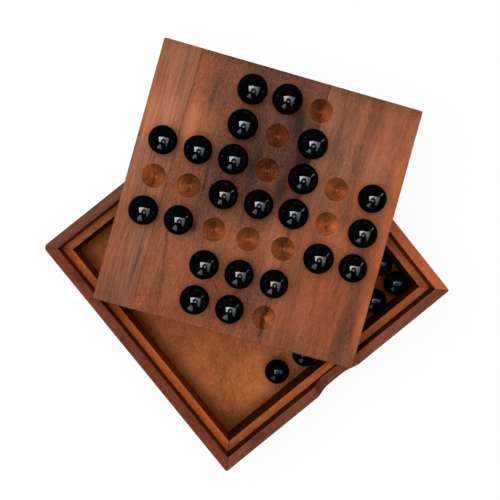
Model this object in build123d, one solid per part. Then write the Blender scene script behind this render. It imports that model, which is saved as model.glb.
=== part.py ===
from build123d import *
import math
import os

# A marble solitaire set: a square wooden playing board lies askew on the rim of its
# open wooden tray. Glass marbles sit in the dimples of the board and on the tray floor.
# The origin is the centre of the tray's underside, +Z is up and the wall with the
# finger notch faces -Y. Lengths are in millimetres and angles in degrees.

# Playing board
MARBLE_SPACING = 3.1  # the least gap between marbles in neighbouring dimples
GRID_COUNT = 7
BOARD_MARGIN = 15.0  # from the middle of an outer dimple to the edge of a centred board
GRID_SHIFT_X = -0.4  # the dimples were drilled a little off the middle of the board
GRID_SHIFT_Y = -0.5
BOARD_THICKNESS = 11.5
LEFT_STAVE_WIDTH = 22.0
RIGHT_STAVE_WIDTH = 53.8
BOARD_EDGE_EASING = 0.6
BOARD_CORNER_EASING = 0.9
BOARD_CENTRE_X = 27.1
BOARD_CENTRE_Y = 25.2
BOARD_TURN = -54.26

# Dimples
DIMPLE_MOUTH = 13.7
DIMPLE_HALF_ANGLE = 48.0
DIMPLE_FLOOR_RADIUS = 3.0

# Tray
BOARD_PLAY = 2.0  # each side of the board when it lies closed inside the rim
WALL_THICKNESS = 6.0
REBATE_DEPTH = 12.1  # from the rim down to the ledge
LEDGE_WIDTH = 4.3
TRAY_DEPTH = 22.4  # from the ledge down to the floor
BASE_THICKNESS = 4.0
RIM_EASING = 0.8
FOOT_EASING = 0.4
LEDGE_EASING = 0.4
CORNER_EASING = 1.2
WORN_CORNER_EASING = 3.0  # the back left corner is worn rounder than the front ones
COVERED_CORNER_EASING = 5.5  # the back right corner, which the board covers

# Finger notch in the front wall
NOTCH_FLOOR_WIDTH = 14.0
NOTCH_DEPTH = 8.5
NOTCH_LEFT_RUN = 6.5
NOTCH_RIGHT_RUN = 8.5
NOTCH_FLOOR_ROUNDING = 6.0
NOTCH_MOUTH_ROUNDING = 4.0
NOTCH_SHIFT = -0.7  # of the middle of the notch floor from the middle of the wall

# Marbles
LARGE_MARBLE = 16.9
MEDIUM_MARBLE = 16.3
SMALL_MARBLE = 15.9
TINY_MARBLE = 14.8
SEAT_GAP = 0.12  # between a marble and the dimple that it sits in
FLOOR_GAP = 0.1  # under a marble that lies on the tray floor
SIDE_GAP = 0.2  # between a marble and the wall beside it

# Places on the board, first row at the far edge: L, M and S are marbles, a dot is empty
BOARD_LAYOUT = [
    "  LL.  ",
    "  L.L  ",
    "SSL.L.S",
    "..MML.M",
    "MM...LS",
    "  MMS  ",
    "  MS.  ",
]
MARBLE_GRADES = {"L": LARGE_MARBLE, "M": MEDIUM_MARBLE, "S": SMALL_MARBLE}

# Sizes that follow from those above
HOLE_PITCH = LARGE_MARBLE + MARBLE_SPACING
BOARD_SIDE = (GRID_COUNT - 1) * HOLE_PITCH + 2 * BOARD_MARGIN
TRAY_OPENING = BOARD_SIDE + 2 * BOARD_PLAY
BOX_SIDE = TRAY_OPENING + 2 * WALL_THICKNESS
CAVITY_SIDE = TRAY_OPENING - 2 * LEDGE_WIDTH
LEDGE_HEIGHT = BASE_THICKNESS + TRAY_DEPTH
BOX_HEIGHT = LEDGE_HEIGHT + REBATE_DEPTH
DIMPLE_TIP_DEPTH = DIMPLE_MOUTH / 2 / math.tan(math.radians(DIMPLE_HALF_ANGLE))
CUT_BEYOND = 1.0  # how far a cutting shape runs past the face that it cuts

# Marbles in the tray: distances of the middle from the tray's centre, or from the
# right and front faces of the tray's hollow, to which the corner cluster is tied
TRAY_RADIUS = TINY_MARBLE / 2
CORNER_PLACE = CAVITY_SIDE / 2 - TRAY_RADIUS - SIDE_GAP
TRAY_PLACES = [
    (-25.5, -(CAVITY_SIDE / 2 - 11.5)),
    (-5.9, -(CAVITY_SIDE / 2 - 9.1)),
    (CORNER_PLACE, -CORNER_PLACE),
    (CORNER_PLACE - TINY_MARBLE - 2.1, -CORNER_PLACE),
    (CORNER_PLACE, -CORNER_PLACE + TINY_MARBLE + 0.6),
    (-38.0, 22.0),
    (-22.0, -10.0),
    (8.0, 47.0),
    (30.0, 2.0),
    (52.0, 38.0),
    (18.0, -30.0),
]


def slab(width, depth, bottom, top):
    """A block centred on the Z axis between two heights."""
    block = Box(width, depth, top - bottom, align=(Align.CENTER, Align.CENTER, Align.MIN))
    return Pos(0, 0, bottom) * block


def upright_edges(shape, distance):
    """The vertical edges that stand that far out in both X and Y."""
    return [
        edge
        for edge in shape.edges().filter_by(Axis.Z)
        if abs(abs(edge.center().X) - distance) < 0.01
        and abs(abs(edge.center().Y) - distance) < 0.01
    ]


def edges_at(shape, height):
    """The edges that lie wholly in one horizontal plane."""
    return [
        edge
        for edge in shape.edges()
        if abs(edge.bounding_box().min.Z - height) < 0.001
        and abs(edge.bounding_box().max.Z - height) < 0.001
    ]


def box_shell():
    """The four outer walls in one, with rounded corners and an open middle."""
    shell = slab(BOX_SIDE, BOX_SIDE, 0, BOX_HEIGHT)
    for side, easing in ((-1, WORN_CORNER_EASING), (1, COVERED_CORNER_EASING)):
        corner = [
            edge
            for edge in upright_edges(shell, BOX_SIDE / 2)
            if edge.center().X * side > 0 and edge.center().Y > 0
        ]
        shell = fillet(corner, easing)
    shell = fillet(upright_edges(shell, BOX_SIDE / 2), CORNER_EASING)
    shell = fillet(edges_at(shell, 0), FOOT_EASING)
    return shell - slab(TRAY_OPENING, TRAY_OPENING, -CUT_BEYOND, BOX_HEIGHT + CUT_BEYOND)


def notch_cutter():
    """A prism through the front wall with the outline of the finger notch."""
    floor = BOX_HEIGHT - NOTCH_DEPTH
    left = NOTCH_SHIFT - NOTCH_FLOOR_WIDTH / 2
    right = NOTCH_SHIFT + NOTCH_FLOOR_WIDTH / 2
    outline = Polyline(
        (left - NOTCH_LEFT_RUN, 0, BOX_HEIGHT),
        (left, 0, floor),
        (right, 0, floor),
        (right + NOTCH_RIGHT_RUN, 0, BOX_HEIGHT),
        (right + NOTCH_RIGHT_RUN, 0, BOX_HEIGHT + CUT_BEYOND),
        (left - NOTCH_LEFT_RUN, 0, BOX_HEIGHT + CUT_BEYOND),
        close=True,
    )
    prism = extrude(make_face(outline), amount=WALL_THICKNESS + CUT_BEYOND, both=True)
    floor_edges = [
        edge for edge in edges_at(prism, floor) if abs(edge.center().X - NOTCH_SHIFT) > 1
    ]
    prism = fillet(floor_edges, NOTCH_FLOOR_ROUNDING)
    return Pos(0, -(BOX_SIDE - WALL_THICKNESS) / 2, 0) * prism


def across_notch(shell):
    """The straight edges that cross the front wall from its outer to its inner face."""
    return [
        edge
        for edge in shell.edges().filter_by(Axis.Y)
        if abs(edge.center().X) < BOX_SIDE / 4
    ]


def eased_rim(shell):
    """The shell with the notch mouth rounded and the rim softened all round."""
    mouth = [
        edge for edge in across_notch(shell) if abs(edge.center().Z - BOX_HEIGHT) < 0.001
    ]
    shell = fillet(mouth, NOTCH_MOUTH_ROUNDING)
    crossing = across_notch(shell)
    along_rim = [
        edge
        for edge in shell.edges()
        if edge.bounding_box().min.Z > LEDGE_HEIGHT and edge not in crossing
    ]
    return fillet(along_rim, RIM_EASING)


def mitred(ring, turn):
    """The quarter of a square ring that faces -Y, before it is turned about Z."""
    reach = BOX_SIDE
    wedge = make_face(Polyline((0, 0, 0), (-reach, -reach, 0), (reach, -reach, 0), close=True))
    wedge = extrude(Pos(0, 0, -CUT_BEYOND) * wedge, amount=BOX_HEIGHT + 2 * CUT_BEYOND)
    return ring & (Rot(0, 0, turn) * wedge)


def ledge_ring():
    """The inner frame whose top is the ledge that the closed board lies on."""
    ring = slab(TRAY_OPENING, TRAY_OPENING, BASE_THICKNESS, LEDGE_HEIGHT)
    ring -= slab(
        CAVITY_SIDE, CAVITY_SIDE, BASE_THICKNESS - CUT_BEYOND, LEDGE_HEIGHT + CUT_BEYOND
    )
    inner = [
        edge
        for edge in edges_at(ring, LEDGE_HEIGHT)
        if max(abs(edge.center().X), abs(edge.center().Y)) < CAVITY_SIDE / 2 + 0.01
    ]
    return fillet(inner, LEDGE_EASING)


def dimple_cutter():
    """A cone with a rounded tip, its mouth at height 0."""
    angle = math.radians(DIMPLE_HALF_ANGLE)
    ball_height = DIMPLE_FLOOR_RADIUS / math.sin(angle) - DIMPLE_TIP_DEPTH
    tangent_x = DIMPLE_FLOOR_RADIUS * math.cos(angle)
    tangent_z = ball_height - DIMPLE_FLOOR_RADIUS * math.sin(angle)
    middle = (math.pi / 2 + angle) / 2
    arc = ThreePointArc(
        (0, 0, ball_height - DIMPLE_FLOOR_RADIUS),
        (
            DIMPLE_FLOOR_RADIUS * math.cos(middle),
            0,
            ball_height - DIMPLE_FLOOR_RADIUS * math.sin(middle),
        ),
        (tangent_x, 0, tangent_z),
    )
    rest = Polyline(
        (tangent_x, 0, tangent_z),
        (DIMPLE_MOUTH / 2 + CUT_BEYOND * math.tan(angle), 0, CUT_BEYOND),
        (0, 0, CUT_BEYOND),
        (0, 0, ball_height - DIMPLE_FLOOR_RADIUS),
    )
    return revolve(make_face([arc, rest]), axis=Axis.Z)


def grid_place(row, column):
    """The middle of a dimple, from the middle of the board's top face."""
    middle = (GRID_COUNT - 1) / 2
    x = (column - middle) * HOLE_PITCH + GRID_SHIFT_X
    y = (middle - row) * HOLE_PITCH + GRID_SHIFT_Y
    return x, y


def board_places():
    """Every dimple as row, column and what sits there, counted from 0."""
    return [
        (row, column, mark)
        for row, line in enumerate(BOARD_LAYOUT)
        for column, mark in enumerate(line)
        if mark != " "
    ]


def seat_height(diameter):
    """How far the middle of a marble lies above the board's top face."""
    radius = diameter / 2 + SEAT_GAP
    on_cone = radius / math.sin(math.radians(DIMPLE_HALF_ANGLE)) - DIMPLE_TIP_DEPTH
    on_mouth = math.sqrt(max(radius**2 - (DIMPLE_MOUTH / 2) ** 2, 0))
    in_mouth = radius * math.cos(math.radians(DIMPLE_HALF_ANGLE)) <= DIMPLE_MOUTH / 2
    return on_cone if in_mouth else on_mouth


def board_blank():
    """The glued-up board with eased edges and all its dimples, its top at height 0."""
    blank = slab(BOARD_SIDE, BOARD_SIDE, -BOARD_THICKNESS, 0)
    blank = fillet(upright_edges(blank, BOARD_SIDE / 2), BOARD_CORNER_EASING)
    blank = fillet(edges_at(blank, 0) + edges_at(blank, -BOARD_THICKNESS), BOARD_EDGE_EASING)
    cutter = dimple_cutter()
    for row, column, _ in board_places():
        blank -= Pos(*grid_place(row, column), 0) * cutter
    return blank


def staves(blank):
    """The three strips that the board is glued up from, by name."""
    edge = BOARD_SIDE / 2
    cuts = [-edge, -edge + LEFT_STAVE_WIDTH, edge - RIGHT_STAVE_WIDTH, edge]
    names = ["board_left_stave", "board_middle_stave", "board_right_stave"]
    pieces = {}
    for name, low, high in zip(names, cuts, cuts[1:]):
        strip = slab(high - low, BOARD_SIDE, -BOARD_THICKNESS, 0)
        pieces[name] = blank & (Pos((low + high) / 2, 0, 0) * strip)
    return pieces


def build():
    """All the pieces of the set by name, each where it lies."""
    pieces = {}

    shell = eased_rim(box_shell() - notch_cutter())
    ledge = ledge_ring()
    for side, turn in (("front", 0), ("right", 90), ("back", 180), ("left", 270)):
        pieces[f"{side}_wall"] = mitred(shell, turn)
        pieces[f"{side}_ledge"] = mitred(ledge, turn)
    pieces["base_panel"] = slab(TRAY_OPENING, TRAY_OPENING, 0, BASE_THICKNESS)

    board_at = Pos(BOARD_CENTRE_X, BOARD_CENTRE_Y, BOX_HEIGHT + BOARD_THICKNESS)
    board_at = board_at * Rot(0, 0, BOARD_TURN)
    for name, stave in staves(board_blank()).items():
        pieces[name] = board_at * stave

    for row, column, mark in board_places():
        if mark in MARBLE_GRADES:
            diameter = MARBLE_GRADES[mark]
            place = Pos(*grid_place(row, column), seat_height(diameter))
            name = f"marble_row{row + 1}_col{column + 1}"
            pieces[name] = board_at * place * Sphere(diameter / 2)

    for number, (x, y) in enumerate(TRAY_PLACES, 1):
        height = BASE_THICKNESS + FLOOR_GAP + TRAY_RADIUS
        pieces[f"tray_marble_{number}"] = Pos(x, y, height) * Sphere(TRAY_RADIUS)
    return pieces


os.makedirs("parts", exist_ok=True)
for name, piece in build().items():
    export_step(piece, f"parts/{name}.step")
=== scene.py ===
"""Finishes a wooden marble solitaire set: a playing board that lies askew on its open
tray, with black glass marbles in its dimples and on the tray floor."""

import math

import bpy
from bpy.props import BoolProperty, FloatProperty, FloatVectorProperty, PointerProperty
from mathutils import Matrix, Vector


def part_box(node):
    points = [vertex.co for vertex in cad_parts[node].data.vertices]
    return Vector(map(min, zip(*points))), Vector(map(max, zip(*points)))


bl_info = {
    "name": "Marble Solitaire Set",
    "version": (1, 0, 0),
    "blender": (4, 5, 0),
    "location": "3D Viewport > Sidebar > Solitaire",
    "description": "Gives the wooden marble solitaire set its finishes and its studio",
    "category": "Object",
}

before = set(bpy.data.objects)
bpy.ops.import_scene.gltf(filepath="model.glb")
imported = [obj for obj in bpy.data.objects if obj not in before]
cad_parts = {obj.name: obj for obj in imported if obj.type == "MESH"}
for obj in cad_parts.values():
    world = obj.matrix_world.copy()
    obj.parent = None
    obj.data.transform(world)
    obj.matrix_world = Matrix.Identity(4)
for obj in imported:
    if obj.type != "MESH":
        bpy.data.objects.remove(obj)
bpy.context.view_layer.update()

MM = 0.001

WALLS = ("front_wall", "right_wall", "back_wall", "left_wall")
LEDGES = ("front_ledge", "right_ledge", "back_ledge", "left_ledge")
STAVES = ("board_left_stave", "board_middle_stave", "board_right_stave")
BOARD_MARBLES = sorted(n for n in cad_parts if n.startswith("marble_row"))
TRAY_MARBLES = sorted(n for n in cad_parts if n.startswith("tray_marble"))


def middle(node):
    """The middle of a CAD node's box, in metres."""
    low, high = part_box(node)
    return (low + high) / 2


# The dimples are a square grid, and two marbles in one row give its pitch and its turn.
ROW_STEPS = 6
ROW_LINE = middle("marble_row3_col7") - middle("marble_row3_col1")
HOLE_PITCH = ROW_LINE.xy.length / ROW_STEPS / MM
BOARD_TURN = math.atan2(ROW_LINE.y, ROW_LINE.x)
BOARD_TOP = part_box("board_left_stave")[1].z
GRID_MIDDLE = Vector((*middle("marble_row4_col4").xy, BOARD_TOP))
# In millimetres on the board: the grid's shift from the middle of the board, the radius
# of a dimple's mouth, and how far from the middle the glue lines lie.
GRID_SHIFT = (-0.4, -0.5)
DIMPLE_RADIUS = 6.85
GLUE_LINES = (-53.0, 21.2)
# Half of the tray's width in millimetres, between the ledge strips and between the walls.
HOLLOW_HALF = -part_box("left_ledge")[1].x / MM
REBATE_HALF = -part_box("left_ledge")[0].x / MM
DEEP = 400.0  # a patch of figure runs through the whole thickness of the wood


class Graph:
    """A node tree with one short method for each kind of node that the finishes use."""

    def __init__(self, tree):
        self.tree = tree

    def feed(self, socket, value):
        """Links a socket to another one, or sets it to a value."""
        if isinstance(value, bpy.types.NodeSocket):
            self.tree.links.new(value, socket)
        else:
            socket.default_value = value

    def node(self, kind, inputs=(), **settings):
        """A new node with its settings made and its inputs fed."""
        made = self.tree.nodes.new(kind)
        for name, value in settings.items():
            setattr(made, name, value)
        for key, value in dict(inputs).items():
            self.feed(made.inputs[key], value)
        return made

    def math(self, operation, *values, clamp=False):
        """The result of a sum on numbers."""
        made = self.node("ShaderNodeMath", operation=operation, use_clamp=clamp)
        for socket, value in zip(made.inputs, values):
            self.feed(socket, value)
        return made.outputs[0]

    def vector(self, operation, *values):
        """The result of a sum on vectors."""
        made = self.node("ShaderNodeVectorMath", operation=operation)
        for socket, value in zip(made.inputs, values):
            self.feed(socket, value)
        single = operation in ("DOT_PRODUCT", "LENGTH", "DISTANCE")
        return made.outputs["Value" if single else "Vector"]

    def parts(self, vector):
        """The three numbers of a vector."""
        made = self.node("ShaderNodeSeparateXYZ", {"Vector": vector})
        return made.outputs["X"], made.outputs["Y"], made.outputs["Z"]

    def join(self, x, y, z):
        """A vector made of three numbers."""
        return self.node("ShaderNodeCombineXYZ", {"X": x, "Y": y, "Z": z}).outputs[0]

    def scale(self, vector, factor):
        """A vector times a number."""
        made = self.node("ShaderNodeVectorMath", {0: vector, "Scale": factor}, operation="SCALE")
        return made.outputs[0]

    def noise(self, place, stretch, detail=2.0, roughness=0.5, distortion=0.0):
        """Noise from 0 to 1 whose features are one over stretch long on each axis."""
        made = self.node(
            "ShaderNodeTexNoise",
            {
                "Vector": self.vector("MULTIPLY", place, stretch),
                "Scale": 1.0,
                "Detail": detail,
                "Roughness": roughness,
                "Distortion": distortion,
            },
        )
        return made.outputs[0]

    def turn_to(self, value, low, high, start=0.0, end=1.0, smooth=True):
        """A value from low to high turned into start to end, and held beyond them."""
        made = self.node(
            "ShaderNodeMapRange",
            {0: value, 1: low, 2: high, 3: start, 4: end},
            interpolation_type="SMOOTHSTEP" if smooth else "LINEAR",
        )
        return made.outputs[0]

    def blend(self, share, first, second):
        """Two colours blended by a share from 0 to 1."""
        made = self.node("ShaderNodeMix", {0: share, 6: first, 7: second}, data_type="RGBA")
        return made.outputs[2]

    def total(self, start, *shares):
        """A start plus sockets that run from 0 to 1 about one half, each times its weight."""
        total = start
        for socket, weight in shares:
            centred = self.math("SUBTRACT", socket, 0.5)
            total = self.math("MULTIPLY_ADD", centred, weight, total)
        return total

    def patch(self, place, spot):
        """A soft oval from 1 in its middle to 0 at its edge."""
        x, y, half_width, half_length, turn = spot
        mapped = self.node(
            "ShaderNodeMapping",
            {
                "Vector": place,
                "Location": (x, y, 0),
                "Rotation": (0, 0, math.radians(turn)),
                "Scale": (half_width, half_length, DEEP),
            },
            vector_type="TEXTURE",
        )
        made = self.node(
            "ShaderNodeTexGradient",
            {"Vector": mapped.outputs[0]},
            gradient_type="SPHERICAL",
        )
        return self.turn_to(made.outputs["Fac"], 0.0, 1.0)

    def patches(self, place, spots):
        """All the soft ovals of one kind of figure, added up."""
        total = 0.0
        for *spot, strength in spots:
            total = self.math("MULTIPLY_ADD", self.patch(place, spot), strength, total)
        return total


def rgba(colour):
    """A linear colour of three numbers as the four that a socket takes."""
    return (*colour[:3], 1.0)


def times(colour, factor):
    """A colour with each of its channels times that of the factor."""
    return tuple(a * b for a, b in zip(colour, factor))


def material(name):
    """A new material with an empty node tree, and the graph that fills it."""
    made = bpy.data.materials.new(name)
    made.use_nodes = True
    made.node_tree.nodes.clear()
    return made, Graph(made.node_tree)


def principled(graph, colour, roughness, height, **levels):
    """The surface shader, with its bump's height in millimetres and its other levels."""
    bump = graph.node("ShaderNodeBump", {"Height": height, "Distance": MM})
    inputs = {"Base Color": colour, "Roughness": roughness, "Normal": bump.outputs[0]}
    inputs.update(levels)
    shader = graph.node("ShaderNodeBsdfPrincipled", inputs)
    output = graph.node("ShaderNodeOutputMaterial")
    graph.feed(output.inputs["Surface"], shader.outputs[0])


def paint(nodes, finish):
    """Gives CAD nodes their finish."""
    for name in nodes:
        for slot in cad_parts[name].material_slots:
            slot.material = finish


def wood_place(graph, centre, turn):
    """The place in the wood in millimetres: X across the grain, Y along it, Z up."""
    place = graph.node("ShaderNodeTexCoord").outputs["Object"]
    place = graph.vector("SUBTRACT", place, tuple(centre))
    place = graph.node(
        "ShaderNodeVectorRotate",
        {"Vector": place, "Angle": -turn},
        rotation_type="Z_AXIS",
    ).outputs[0]
    return graph.scale(place, 1 / MM)


def wood_normal(graph, turn):
    """The surface's direction in the same axes as the place in the wood."""
    normal = graph.node("ShaderNodeNewGeometry").outputs["Normal"]
    normal = graph.node(
        "ShaderNodeVectorTransform",
        {"Vector": normal},
        vector_type="NORMAL",
        convert_from="WORLD",
        convert_to="OBJECT",
    ).outputs[0]
    normal = graph.node(
        "ShaderNodeVectorRotate",
        {"Vector": normal, "Angle": -turn},
        rotation_type="Z_AXIS",
    ).outputs[0]
    return graph.parts(normal)


def swing(graph, place, reach, **noise):
    """Noise that swings about zero, by half the reach to either side."""
    value = graph.noise(place, **noise)
    return graph.math("MULTIPLY", graph.math("SUBTRACT", value, 0.5), reach)


# The noises of the grain. A stretch tells how many features fit in a millimetre across
# the grain, along it and up.
CLOUDS = {"stretch": (0.05, 0.022, 0.05), "detail": 3.0}
DRIFT = {"stretch": (0.012, 0.006, 0.012)}
WAVER = {"stretch": (0.05, 0.022, 0.05)}
RINGS = {"stretch": (0.16, 0.008, 1.0), "detail": 3.0, "roughness": 0.6}
LINES = {"stretch": (0.75, 0.03, 1.0), "detail": 3.0, "roughness": 0.65}
FIBRES = {"stretch": (1.1, 0.2, 1.1), "detail": 3.0, "roughness": 0.7}
FLECKS = {"stretch": (1.2, 0.85, 1.2), "detail": 2.0, "roughness": 0.7}
PORES = {"stretch": (2.6, 0.34, 2.6), "detail": 1.0, "roughness": 0.4}
PORE_EDGES = (0.60, 0.72)
DRIFT_REACH = 14.0  # how far the rings wander, in millimetres
WAVER_REACH = 3.0
SEED_STEPS = (37.0, 211.0, 17.0)  # a seed's own place in the noise, in millimetres
# Heights of the open grain in millimetres.
FIBRE_HEIGHT = 0.03
PORE_HEIGHT = -0.05
LINE_HEIGHT = 0.02
FIBRE_SPAN = (0.2, 0.8)
WOOD_ROUGHNESS = (0.45, 0.62)
WOOD_SHINE = {"Specular IOR Level": 0.15}
END_GRAIN_SPAN = (0.5, 1.0)
END_GRAIN_LEVEL = 0.6


def grain(graph, place, pith, seed, strengths):
    """Wavy growth rings about a pith line, and what shows of them on any cut face.

    Gives the tone, which is about zero and rises where the wood is lighter, and the lines,
    fibres and pores that make the relief, each 0 to 1."""
    shift = [seed * step for step in SEED_STEPS]
    place = graph.vector("ADD", place, shift)
    cloud = graph.noise(place, **CLOUDS)
    drift = graph.noise(place, **DRIFT)
    waver = graph.noise(place, **WAVER)
    x, y, z = graph.parts(graph.vector("SUBTRACT", place, (shift[0], 0, shift[2])))
    across = graph.math("SUBTRACT", x, pith[0])
    across = graph.math("MULTIPLY_ADD", drift, DRIFT_REACH, across)
    across = graph.math("MULTIPLY_ADD", waver, WAVER_REACH, across)
    depth = graph.math("SUBTRACT", z, pith[1])
    ring = graph.vector("LENGTH", graph.join(across, depth, 0.0))
    ringed = graph.join(ring, y, 0.0)
    figure = graph.noise(ringed, **RINGS)
    lines = graph.noise(ringed, **LINES)
    fibre = graph.noise(place, **FIBRES)
    fleck = graph.noise(place, **FLECKS)
    pores = graph.turn_to(graph.noise(place, **PORES), *PORE_EDGES)
    tone = graph.total(0.0, *zip((cloud, figure, lines, fibre, fleck), strengths))
    tone = graph.math("MULTIPLY_ADD", pores, -strengths[-1], tone)
    return tone, lines, fibre, pores


def wood_relief(graph, lines, fibre, pores):
    """The height of the open grain in millimetres."""
    relief = graph.math("MULTIPLY", fibre, FIBRE_HEIGHT)
    relief = graph.math("MULTIPLY_ADD", pores, PORE_HEIGHT, relief)
    return graph.math("MULTIPLY_ADD", lines, LINE_HEIGHT, relief)


def darken(graph, colour, level):
    """A colour times a level that is the same for its three channels."""
    return graph.vector("MULTIPLY", colour, graph.join(level, level, level))


def end_grain_level(graph, turn):
    """1 on faces along the grain and less on faces that are cut across it."""
    along = wood_normal(graph, turn)[1]
    along = graph.math("POWER", graph.math("ABSOLUTE", along), 2.0)
    return graph.turn_to(along, *END_GRAIN_SPAN, 1.0, END_GRAIN_LEVEL)


# Figure that shows on the board: across, along, half width, half length, turn in
# degrees and strength. Distances are in millimetres from the middle of the board, and a
# patch has half its strength half way out.
DARK_FIGURE = {
    "board_left_stave": [
        (-60.2, 57, 2.8, 34, 0.5, 0.24),
        (-57.5, -46, 2.2, 34, 0.5, 0.40),
        (-66, -80, 24, 56, 0, 0.26),
        (-72, -40, 5, 44, 0, 0.10),
        (-60.6, -30, 1.6, 30, 1, 0.12),
        (-66, 80, 24, 12, 0, 0.34),
    ],
    "board_middle_stave": [
        (3, 28, 76, 68, 0, 0.36),
        (13, 34, 20, 46, 0, 0.14),
        (-38, 62, 10, 36, 0, 0.22),
        (9, 50, 6, 16, 0, 0.26),
        (17, 31, 7, 17, 0, 0.22),
        (9, 10, 6, 10, 0, 0.20),
        (-7.5, 16, 4.6, 24, 0, 0.22),
        (-7.5, -12, 3.4, 10, 0, 0.22),
        (-40.3, 48, 2, 17, 2, 0.26),
        (-29, -8, 15, 36, 0, 0.26),
        (-32.3, 5, 1.4, 18, 0, 0.22),
        (-31.5, -22, 2.6, 5.5, 0, 0.34),
        (-43.6, -38, 1.5, 20, 9, 0.30),
        (-40, -60, 1.5, 18, 5, 0.30),
        (-10.8, -51, 1.3, 7.5, 38, 0.26),
        (20.4, -13, 1.2, 9, 0, 0.34),
        (19.8, -64, 2, 14, 0, 0.34),
        (8, -54, 34, 24, 0, 0.20),
        (-16, 80, 70, 14, 0, 0.40),
    ],
    "board_right_stave": [
        (34, 60, 24, 60, 0, 0.08),
        (32.5, 47, 2.4, 24, -2, 0.18),
        (38, 34, 2, 20, 0, 0.12),
        (50, 66, 7, 20, 0, 0.26),
        (48.5, 30, 4, 26, 0, 0.14),
        (65.5, -54, 7.5, 46, -3, 0.28),
        (68.2, -51, 2.2, 12, 0, 0.16),
        (63, -22, 2, 20, -3, 0.16),
        (27, 8, 4, 22, 0, 0.12),
        (50, -86, 50, 30, 0, 0.22),
        (44, -48, 1.8, 22, -3, 0.12),
        (28, -27, 7, 14, 0, 0.14),
        (33, 10, 6, 12, 0, 0.14),
        (46, 80, 70, 14, 0, 0.34),
    ],
}
BRIGHT_FIGURE = {
    "board_left_stave": [
        (-66, 64, 20, 62, 0, 0.17),
        (-71.5, 33, 8, 24, 0, 0.66),
        (-61.5, 33, 9, 18, 0, 0.42),
        (-64, -52, 5, 42, 0, 0.14),
        (-71, 0, 7, 40, 0, 0.14),
        (-52, 34, 5, 20, 0, 0.16),
    ],
    "board_middle_stave": [
        (-48.5, 35, 7, 24, 0, 0.70),
        (-40, 38, 9, 18, 0, 0.36),
        (-49, 66, 7, 24, 0, 0.12),
        (14, -17, 15, 26, 0, 0.42),
        (-6, -24, 14, 20, 0, 0.18),
        (-34.5, -60, 8, 26, 0, 0.26),
        (-49, -66, 6, 24, 0, 0.14),
    ],
    "board_right_stave": [
        (62, 46, 15, 50, 0, 0.16),
        (73.5, 10, 9, 66, 0, 0.44),
        (46, -8, 12, 16, 0, 0.36),
        (50, -40, 20, 52, 0, 0.20),
        (41.5, -58, 5, 26, -2, 0.26),
        (73.6, -47, 4.5, 28, 0, 0.42),
        (73, 62, 7, 16, 0, 0.26),
        (59, -60, 3, 22, -3, 0.12),
        (41, 38, 3, 22, 0, 0.10),
        (26.5, 36, 3.6, 40, 0, 0.10),
    ],
}
# Where the oil shows bluer, and where it shows more orange than the usual brown.
COOL_FIGURE = {
    "board_left_stave": [
        (-59.5, 10, 24, 140, 0, 1.35),
        (-57.8, -46, 6, 52, 0, 1.1),
    ],
    "board_middle_stave": [
        (0, 34, 44, 50, 0, 0.25),
        (-34, 10, 8, 50, 0, 0.2),
    ],
    "board_right_stave": [
        (34, 40, 34, 70, 0, 0.7),
        (66, -54, 6, 44, -3, 0.8),
    ],
}
WARM_FIGURE = {
    "board_left_stave": [
        (-72, 42, 4, 30, 0, 0.4),
        (-75, -48, 9, 46, 0, 0.5),
    ],
    "board_middle_stave": [
        (-22, -84, 70, 58, 0, 0.95),
        (16, 34, 12, 26, 0, 0.25),
    ],
    "board_right_stave": [
        (50, -50, 46, 84, 0, 0.95),
        (75, 0, 12, 96, 0, 1),
    ],
}
# Figure that shows only where a dimple cuts down to it, above zero where it is brighter.
CUT_FIGURE = [
    (-0.4, 39.5, 12, 12, 0, 0.60),
    (-0.4, 19.5, 12, 12, 0, 0.60),
    (39.6, -0.5, 12, 12, 0, 0.25),
    (19.6, -20.5, 12, 12, 0, -0.30),
    (-16.2, -16.4, 3.4, 4.6, 0, -0.45),
    (-63.4, 2.6, 5, 4.6, 0, 0.42),
    (-60.3, -4.4, 1.1, 5, 0, -0.45),
    (-44, -2.2, 5.6, 3.4, 0, 0.40),
    (24.4, -20.2, 4, 2.6, 0, 0.70),
    (15.2, -20.6, 3.4, 2.2, 0, 0.35),
    (44.6, -0.4, 4.4, 3.6, 0, 0.50),
    (43.6, 19.4, 4, 3.4, 0, 0.35),
    (35, 19.6, 4, 3.4, 0, 0.30),
    (4.2, -20.4, 3.8, 2.8, 0, 0.32),
    (-24.6, -24, 4, 3, 0, 0.20),
]
BOARD_PITH = {
    "board_left_stave": (-120.0, -34.0),
    "board_middle_stave": (-30.0, -95.0),
    "board_right_stave": (95.0, -70.0),
}
STAVE_TONE = {
    "board_left_stave": 0.67,
    "board_middle_stave": 0.57,
    "board_right_stave": 0.66,
}
# How strong the clouds, rings, lines, fibres, flecks and pores show in each stave.
STAVE_GRAIN = {
    "board_left_stave": (0.5, 0.6, 1.3, 0.7, 0.35, 0.05),
    "board_middle_stave": (0.6, 0.6, 0.45, 0.8, 1.0, 0.05),
    "board_right_stave": (0.6, 0.9, 0.8, 0.7, 0.7, 0.06),
}
# What the cool, the warm and the streaked places do to the board's colour.
COOL = (1.0, 1.17, 1.38)
WARM = (1.0, 0.83, 0.72)
COOL_STREAK = (0.92, 1.04, 1.30)
STREAK_COOLING = 0.8
TINT_DRIFT = {"stretch": (0.05, 0.015, 0.05)}
TINT_DRIFT_REACH = 1.2
TINT_SEED_STEP = 90.0
SWAY = {"stretch": (0.09, 0.02, 0.09)}  # bends the figure a little to and fro
SWAY_REACH = 5.0
TONE_SPAN = 0.74  # of the way from the dark to the light colour, at a tone of 1
# Here and below, four numbers that stand together are a span for turn_to: the low and the
# high that it reads, and what it gives there.
FEATHER = (0.25, 0.75, 0.7, 1.3)  # the lines of the grain feather the figure's edges
STREAK_CALM = (0.1, 0.6, 1.0, 0.45)  # the grain fades in the dark streaks
GLUE_LINE = (0.12, 0.45, 0.62, 1.0)  # by the distance from it, in millimetres

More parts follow.
